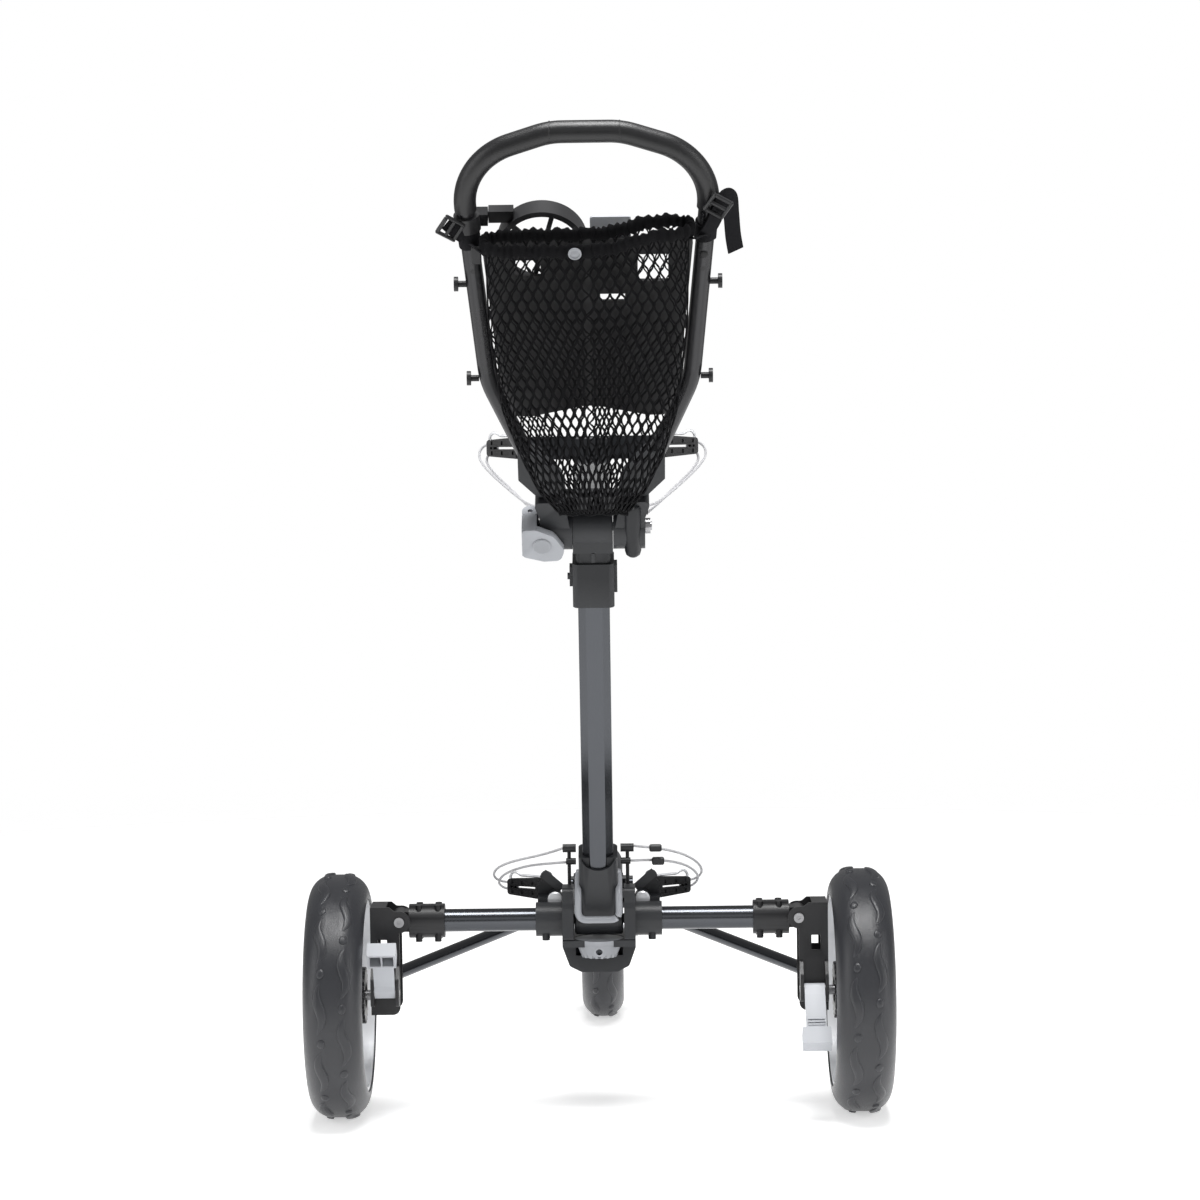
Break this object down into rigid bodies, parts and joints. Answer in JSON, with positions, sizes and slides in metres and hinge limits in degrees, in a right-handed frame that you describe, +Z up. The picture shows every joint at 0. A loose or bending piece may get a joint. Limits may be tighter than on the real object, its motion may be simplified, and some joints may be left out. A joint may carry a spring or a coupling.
{
  "type": "golf push cart",
  "caption": "Folding three-wheel golf push cart with a U-shaped handle, mesh bag, cup holder, bag brackets with elastic cords and foot brakes.",
  "frame": {"origin": "on the ground under the middle of the cart's box", "axes": "+Z up, +Y forward to the single front wheel, +X to the right of the person who pushes it"},
  "size_m": [0.698, 1.255, 1.1541],
  "materials": {
    "tube_metal": "satin",
    "frame_black": "satin",
    "hub_plastic": "satin",
    "bracket_plastic": "satin",
    "grey_plastic": "satin",
    "lever_grey": "satin",
    "tyre_foam": "matt",
    "rim_silver": "satin",
    "black_rubber": "matt",
    "steel": "brushed",
    "webbing": "woven",
    "net": "knotted",
    "cord_white": "braided",
    "black_plastic": "satin"
  },
  "bodies": {
    "frame": {"hub_housing": "hub_plastic", "hub_cup": "lever_grey", "post_pin": "hub_plastic", "hub_sleeves": "hub_plastic", "axle_tube_left": "tube_metal", "axle_tube_right": "tube_metal", "knuckle_clamp_left": "bracket_plastic", "knuckle_clamp_right": "bracket_plastic", "knuckle_pins": "steel", "front_tube": "tube_metal", "front_fork": "tube_metal", "front_axle": "steel", "lower_saddle": "hub_plastic", "lower_bag_arms": "black_plastic", "cord_posts": "black_plastic", "lower_cord_left": "cord_white", "lower_cord_right": "cord_white"},
    "front_wheel": {"front_tyre": "tyre_foam", "front_rim": "rim_silver"},
    "bracket_left": {"wheel_bracket_left": "bracket_plastic", "bracket_pins_left": "steel"},
    "bracket_right": {"wheel_bracket_right": "bracket_plastic", "bracket_pins_right": "steel"},
    "wheel_left": {"rear_tyre_left": "tyre_foam", "rear_rim_left": "rim_silver", "brake_ring_left": "bracket_plastic", "hub_cap_left": "lever_grey"},
    "wheel_right": {"rear_tyre_right": "tyre_foam", "rear_rim_right": "rim_silver", "brake_ring_right": "bracket_plastic", "hub_cap_right": "lever_grey"},
    "pedal_left": {"brake_pedal_left": "grey_plastic"},
    "pedal_right": {"brake_pedal_right": "grey_plastic"},
    "collar": {"strut_collar": "hub_plastic"},
    "strut_l": {"strut_left": "tube_metal"},
    "strut_r": {"strut_right": "tube_metal"},
    "post": {"post_tube": "tube_metal", "lower_socket": "hub_plastic", "upper_socket": "hub_plastic", "joint_block": "hub_plastic", "upper_bracket": "hub_plastic", "upper_bag_arms": "black_plastic", "upper_cord_left": "cord_white", "upper_cord_right": "cord_white"},
    "loop": {"release_loop": "lever_grey"},
    "handle": {"handle_yoke": "hub_plastic", "clamp_rod": "steel", "handle_tube": "frame_black", "handle_grip": "black_rubber", "handle_sockets": "hub_plastic", "frame_studs": "black_plastic", "console_panel": "black_plastic", "cup_arm": "black_plastic", "clip_hinge": "black_plastic", "net_bag": "net", "net_straps": "webbing", "strap_buckles": "black_plastic"},
    "lever": {"cam_lever": "lever_grey"},
    "cup": {"cup_holder": "black_plastic"},
    "card_clip": {"scorecard_clip": "grey_plastic"}
  },
  "joints": [
    {"name": "wheel_fold_left", "type": "hinge", "parent": "frame", "child": "bracket_left", "pos_m": [-0.24, -0.1425, 0.238], "axis": [0, -1, 0], "range_deg": [0, 80]},
    {"name": "wheel_fold_right", "type": "hinge", "parent": "frame", "child": "bracket_right", "pos_m": [0.24, -0.1425, 0.238], "axis": [0, 1, 0], "range_deg": [0, 80]},
    {"name": "strut_slide", "type": "slide", "parent": "frame", "child": "collar", "axis": [0, 1, 0], "range_m": [0, 0.0409]},
    {"name": "strut_swing_left", "type": "hinge", "parent": "collar", "child": "strut_l", "pos_m": [-0.029, 0.2445, 0.202], "axis": [-0.4516, 0.1919, 0.8713], "range_deg": [0, 14.48]},
    {"name": "strut_swing_right", "type": "hinge", "parent": "collar", "child": "strut_r", "pos_m": [0.029, 0.2445, 0.202], "axis": [-0.4516, -0.1919, -0.8713], "range_deg": [0, 14.48]},
    {"name": "wheel_spin_left", "type": "hinge", "parent": "bracket_left", "child": "wheel_left", "pos_m": [-0.314, -0.1425, 0.146], "axis": [1, 0, 0], "continuous": true},
    {"name": "wheel_spin_right", "type": "hinge", "parent": "bracket_right", "child": "wheel_right", "pos_m": [0.314, -0.1425, 0.146], "axis": [1, 0, 0], "continuous": true},
    {"name": "front_wheel_spin", "type": "hinge", "parent": "frame", "child": "front_wheel", "pos_m": [0, 0.5075, 0.12], "axis": [1, 0, 0], "continuous": true},
    {"name": "brake_pedal_left", "type": "hinge", "parent": "bracket_left", "child": "pedal_left", "pos_m": [-0.2575, -0.1775, 0.154], "axis": [1, 0, 0], "range_deg": [0, 100]},
    {"name": "brake_pedal_right", "type": "hinge", "parent": "bracket_right", "child": "pedal_right", "pos_m": [0.2575, -0.1775, 0.154], "axis": [1, 0, 0], "range_deg": [-100, 0]},
    {"name": "post_fold", "type": "hinge", "parent": "frame", "child": "post", "pos_m": [0, -0.1425, 0.236], "axis": [-1, 0, 0], "range_deg": [0, 85]},
    {"name": "release_loop", "type": "hinge", "parent": "post", "child": "loop", "pos_m": [0, -0.14713, 0.28965], "axis": [-1, 0, 0], "range_deg": [0, 25]},
    {"name": "handle_fold", "type": "hinge", "parent": "post", "child": "handle", "pos_m": [0, -0.31727, 0.71618], "axis": [1, 0, 0], "range_deg": [-8, 65]},
    {"name": "cam_lever", "type": "hinge", "parent": "handle", "child": "lever", "pos_m": [-0.071, -0.32014, 0.72028], "axis": [0, 0.5736, -0.8192], "range_deg": [0, 100]},
    {"name": "cup_tilt", "type": "hinge", "parent": "handle", "child": "cup", "pos_m": [-0.097, -0.54073, 1.06146], "axis": [1, 0, 0], "range_deg": [0, 55]},
    {"name": "scorecard_clip", "type": "hinge", "parent": "handle", "child": "card_clip", "pos_m": [0.025, -0.50409, 0.98822], "axis": [-1, 0, 0], "range_deg": [0, 70]}
  ],
  "couplings": [
    {"joint": "wheel_fold_right", "follows": "wheel_fold_left", "ratio": 1},
    {"joint": "strut_slide", "follows": "wheel_fold_left", "m_per_rad": 0.029041},
    {"joint": "strut_swing_left", "follows": "wheel_fold_left", "ratio": 0.1773},
    {"joint": "strut_swing_right", "follows": "wheel_fold_left", "ratio": 0.1773}
  ]
}
